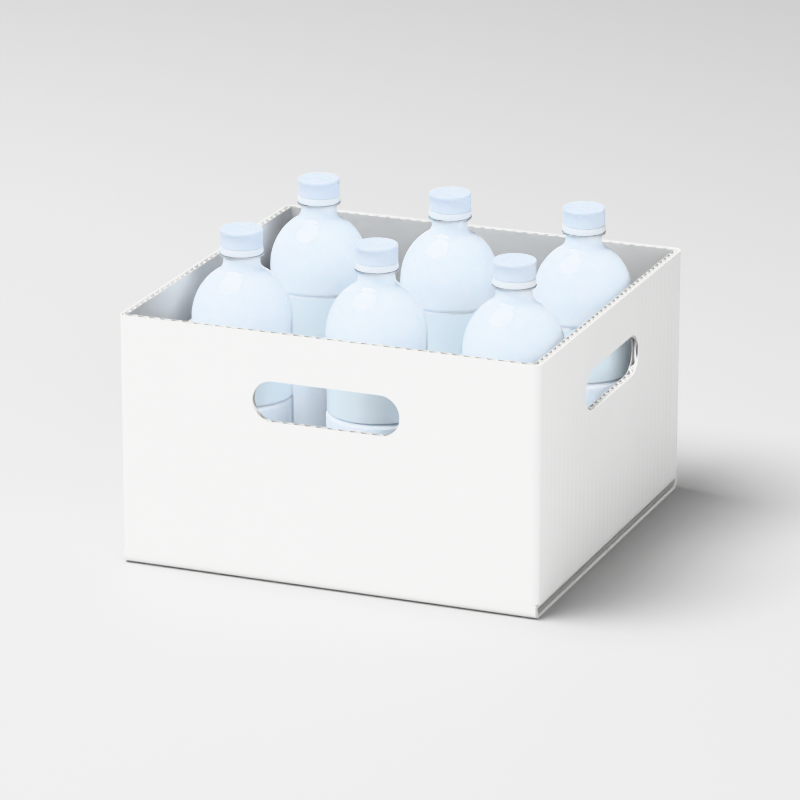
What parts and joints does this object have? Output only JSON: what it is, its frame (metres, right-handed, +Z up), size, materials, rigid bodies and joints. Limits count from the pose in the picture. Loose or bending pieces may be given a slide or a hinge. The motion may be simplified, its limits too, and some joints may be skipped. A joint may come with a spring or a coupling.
{
  "type": "six-pack of plastic drink bottles in an open carton",
  "caption": "Open-topped white card carton with hand holes, holding capped clear plastic drink bottles with plain pale blue labels.",
  "frame": {"origin": "middle of the carton's underside, at the centre of the whole object's box", "axes": "+Z up; +X along the long side of the carton, to the right as seen from its front; +Y towards its back"},
  "size_m": [0.312, 0.3, 0.2263],
  "materials": {
    "card": "matt white-lined corrugated board",
    "clear_plastic": "clear glossy blown plastic with a faint blue tint",
    "drink": "pale cloudy liquid",
    "label_film": "plain pale blue film, half gloss",
    "band_plastic": "moulded plastic, half gloss",
    "cap_plastic": "moulded plastic, half gloss"
  },
  "bodies": {
    "root": {"carton": "card", "bottle_front_left": "clear_plastic", "bottle_front_middle": "clear_plastic", "bottle_front_right": "clear_plastic", "bottle_back_left": "clear_plastic", "bottle_back_middle": "clear_plastic", "bottle_back_right": "clear_plastic", "drink_front_left": "drink", "drink_front_middle": "drink", "drink_front_right": "drink", "drink_back_left": "drink", "drink_back_middle": "drink", "drink_back_right": "drink", "label_front_left": "label_film", "label_front_middle": "label_film", "label_front_right": "label_film", "label_back_left": "label_film", "label_back_middle": "label_film", "label_back_right": "label_film", "band_front_left": "band_plastic", "band_front_middle": "band_plastic", "band_front_right": "band_plastic", "band_back_left": "band_plastic", "band_back_middle": "band_plastic", "band_back_right": "band_plastic", "cap_front_left": "cap_plastic", "cap_front_middle": "cap_plastic", "cap_front_right": "cap_plastic", "cap_back_left": "cap_plastic", "cap_back_middle": "cap_plastic", "cap_back_right": "cap_plastic"}
  },
  "joints": []
}
